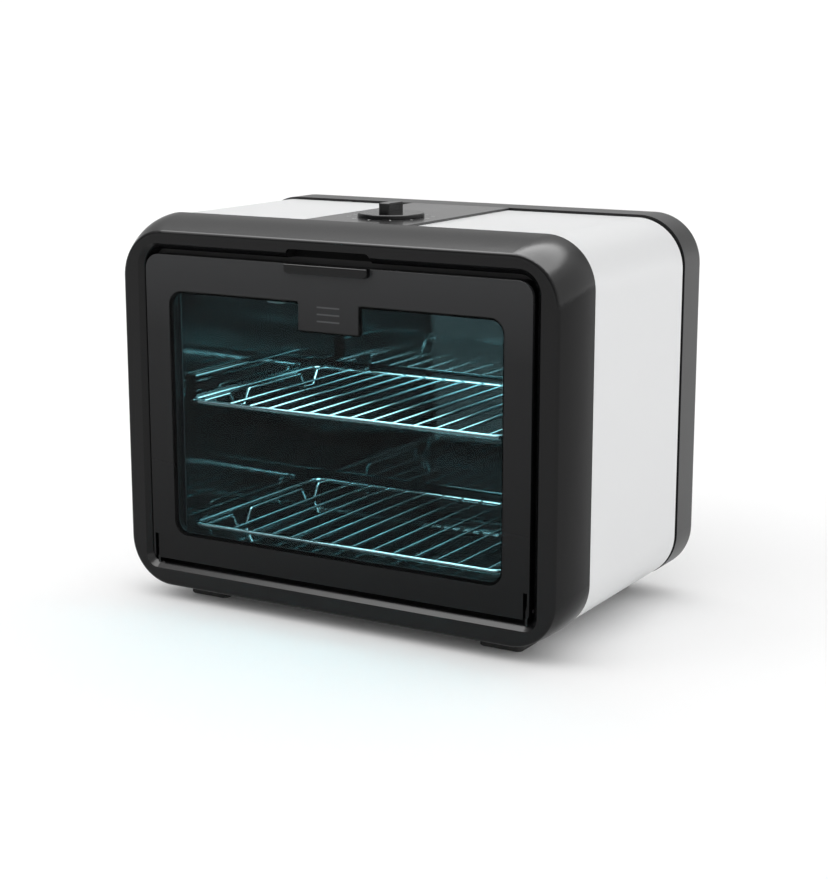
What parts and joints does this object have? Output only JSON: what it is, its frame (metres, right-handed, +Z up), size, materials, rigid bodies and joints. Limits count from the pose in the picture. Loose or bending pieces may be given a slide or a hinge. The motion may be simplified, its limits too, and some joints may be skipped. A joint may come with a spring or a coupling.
{
  "type": "bottle sterilizer",
  "caption": "Ultraviolet cabinet for sterilizing baby bottles, with a drop-down glass door, wire racks in a polished chamber and a timer knob on top.",
  "frame": {"origin": "on the surface under the feet, at the middle of the overall width and depth", "axes": "+X across the width to the right seen from the front, +Y to the rear, +Z up; the door faces -Y"},
  "size_m": [0.4, 0.2488, 0.3204],
  "materials": {
    "black_plastic": "black satin-gloss moulding",
    "strip_plastic": "glossy black strip",
    "white_paint": "white powder coat",
    "inner_black": "matt black moulding",
    "tinted_glass": "clear, lightly tinted",
    "border_black": "black printed border",
    "polished_steel": "polished",
    "wire_steel": "polished wire",
    "plated_steel": "zinc plated",
    "screw_steel": "dark plated",
    "rubber_black": "matt rubber",
    "seal_rubber": "soft grey rubber",
    "quartz": "clear lamp tube",
    "cap_aluminium": "satin",
    "ceramic_white": "white moulding",
    "timer_beige": "moulded housing",
    "brass": "plain",
    "lead_grey": "insulated leads",
    "magnet": "nickel plated"
  },
  "bodies": {
    "cabinet": {"front_bezel": "black_plastic", "left_side_panel": "white_paint", "right_side_panel": "white_paint", "top_strip": "strip_plastic", "rear_frame": "black_plastic", "rear_cover": "inner_black", "rear_cover_screws": "screw_steel", "base_plate": "plated_steel", "base_screws": "screw_steel", "feet": "rubber_black", "foot_screws": "screw_steel", "chamber_flange": "inner_black", "flange_screws": "screw_steel", "chamber_floor": "polished_steel", "chamber_ceiling": "polished_steel", "chamber_left_wall": "polished_steel", "chamber_right_wall": "polished_steel", "chamber_back": "polished_steel", "chamber_supports": "plated_steel", "left_rack_runner": "wire_steel", "right_rack_runner": "wire_steel", "runner_rivets": "plated_steel", "lamp_reflector": "polished_steel", "lamp_tube": "quartz", "lamp_caps": "cap_aluminium", "left_lamp_holder": "ceramic_white", "right_lamp_holder": "ceramic_white", "ballast": "plated_steel", "ballast_screws": "screw_steel", "terminal_block": "ceramic_white", "cord_gland": "inner_black", "gland_nut": "inner_black", "reed_switch": "ceramic_white", "wiring": "lead_grey", "timer_body": "timer_beige", "timer_screws": "screw_steel"},
    "door": {"door_glass": "tinted_glass", "door_border": "border_black", "door_frame": "inner_black", "door_seal": "seal_rubber", "door_magnets": "magnet", "hinge_pins": "plated_steel", "door_handle": "black_plastic", "handle_screws": "screw_steel"},
    "knob": {"timer_knob": "black_plastic", "timer_shaft": "brass"},
    "upper_rack": {"upper_rack": "wire_steel"},
    "lower_rack": {"lower_rack": "wire_steel"}
  },
  "joints": [
    {"name": "door_hinge", "type": "hinge", "parent": "cabinet", "child": "door", "pos_m": [0, -0.11245, 0.0395], "axis": [1, 0, 0], "range_deg": [0, 90]},
    {"name": "timer_turn", "type": "hinge", "parent": "cabinet", "child": "knob", "pos_m": [0, -0.02845, 0.3094], "axis": [0, 0, 1], "range_deg": [-300, 0]},
    {"name": "upper_rack_slide", "type": "slide", "parent": "cabinet", "child": "upper_rack", "axis": [0, -1, 0], "range_m": [0, 0.11]},
    {"name": "lower_rack_slide", "type": "slide", "parent": "cabinet", "child": "lower_rack", "axis": [0, -1, 0], "range_m": [0, 0.03]}
  ],
  "couplings": [
    {"joint": "upper_rack_slide", "follows": "door_hinge", "m_per_rad": 0.07},
    {"joint": "lower_rack_slide", "follows": "door_hinge", "m_per_rad": 0.019}
  ]
}
